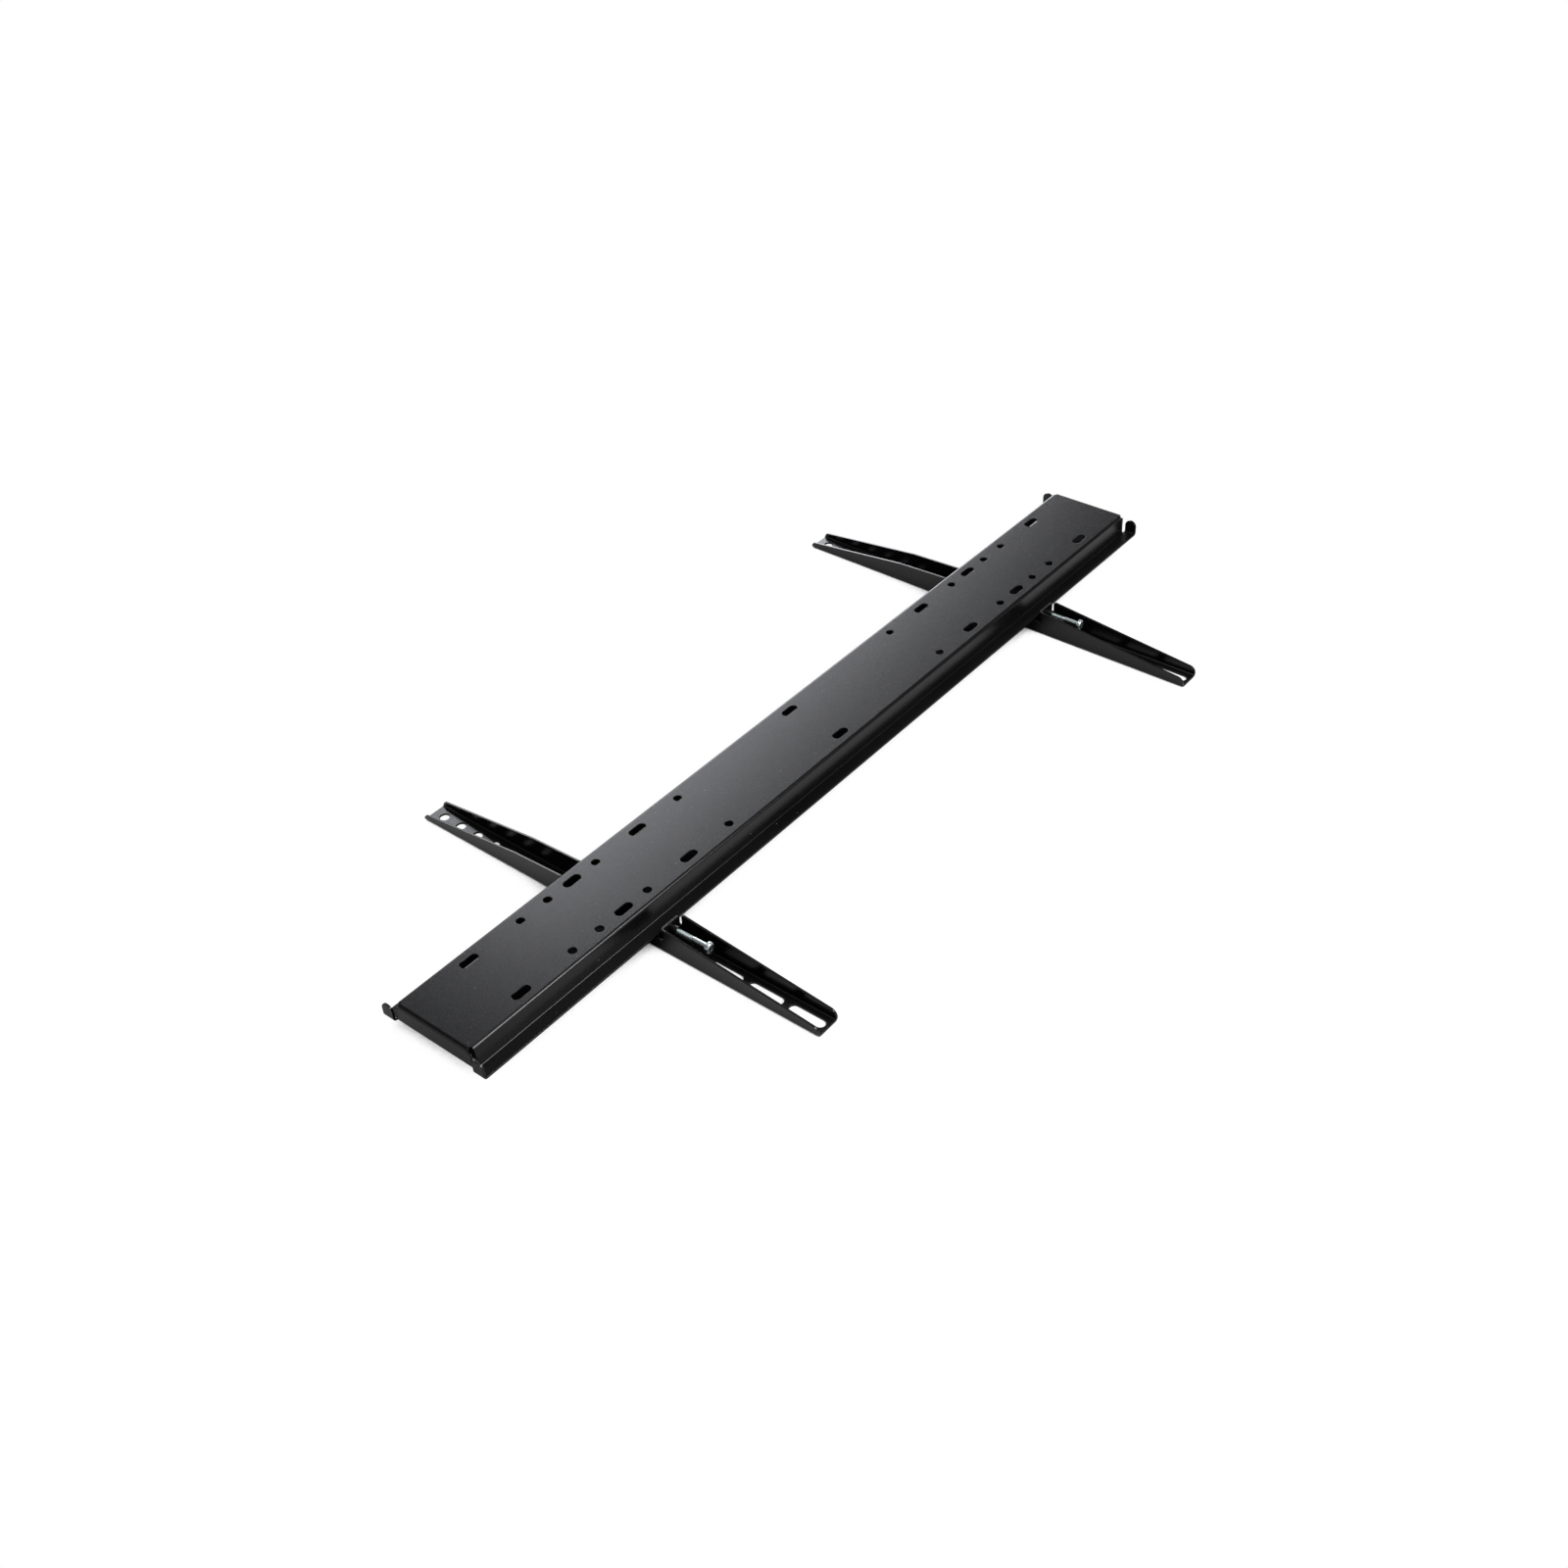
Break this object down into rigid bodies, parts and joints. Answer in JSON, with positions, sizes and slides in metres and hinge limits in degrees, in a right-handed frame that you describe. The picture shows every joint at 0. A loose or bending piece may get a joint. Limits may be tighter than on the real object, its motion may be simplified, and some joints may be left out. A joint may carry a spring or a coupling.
{
  "type": "fixed tv wall bracket",
  "caption": "Low-profile TV wall bracket: a folded steel rail bolts to the wall, and hook-on channel arms for the TV slide along it and lock with screws.",
  "frame": {"origin": "centre of the footprint, on the plane of the arms' TV faces", "axes": "+X along the rail, +Y along the arms towards the end that is uppermost on a wall, +Z from the TV to the wall"},
  "size_m": [0.914, 0.432, 0.033],
  "materials": {
    "black_powder_coat": "satin black powder coat with a fine texture",
    "bright_zinc": "bright zinc plate"
  },
  "bodies": {
    "rail": {"wall_rail": "black_powder_coat"},
    "left_arm": {"left_arm": "black_powder_coat", "left_thread_bush": "black_powder_coat"},
    "right_arm": {"right_arm": "black_powder_coat", "right_thread_bush": "black_powder_coat"},
    "left_lock_screw": {"left_lock_screw": "bright_zinc"},
    "right_lock_screw": {"right_lock_screw": "bright_zinc"}
  },
  "joints": [
    {"name": "left_arm_slide", "type": "slide", "parent": "rail", "child": "left_arm", "axis": [1, 0, 0], "range_m": [-0.1825, 0.2475]},
    {"name": "right_arm_slide", "type": "slide", "parent": "rail", "child": "right_arm", "axis": [1, 0, 0], "range_m": [-0.2675, 0.1625]},
    {"name": "left_lock_screw_travel", "type": "slide", "parent": "left_arm", "child": "left_lock_screw", "axis": [0, 1, 0], "range_m": [0, 0.015]},
    {"name": "right_lock_screw_travel", "type": "slide", "parent": "right_arm", "child": "right_lock_screw", "axis": [0, 1, 0], "range_m": [0, 0.0131]}
  ]
}
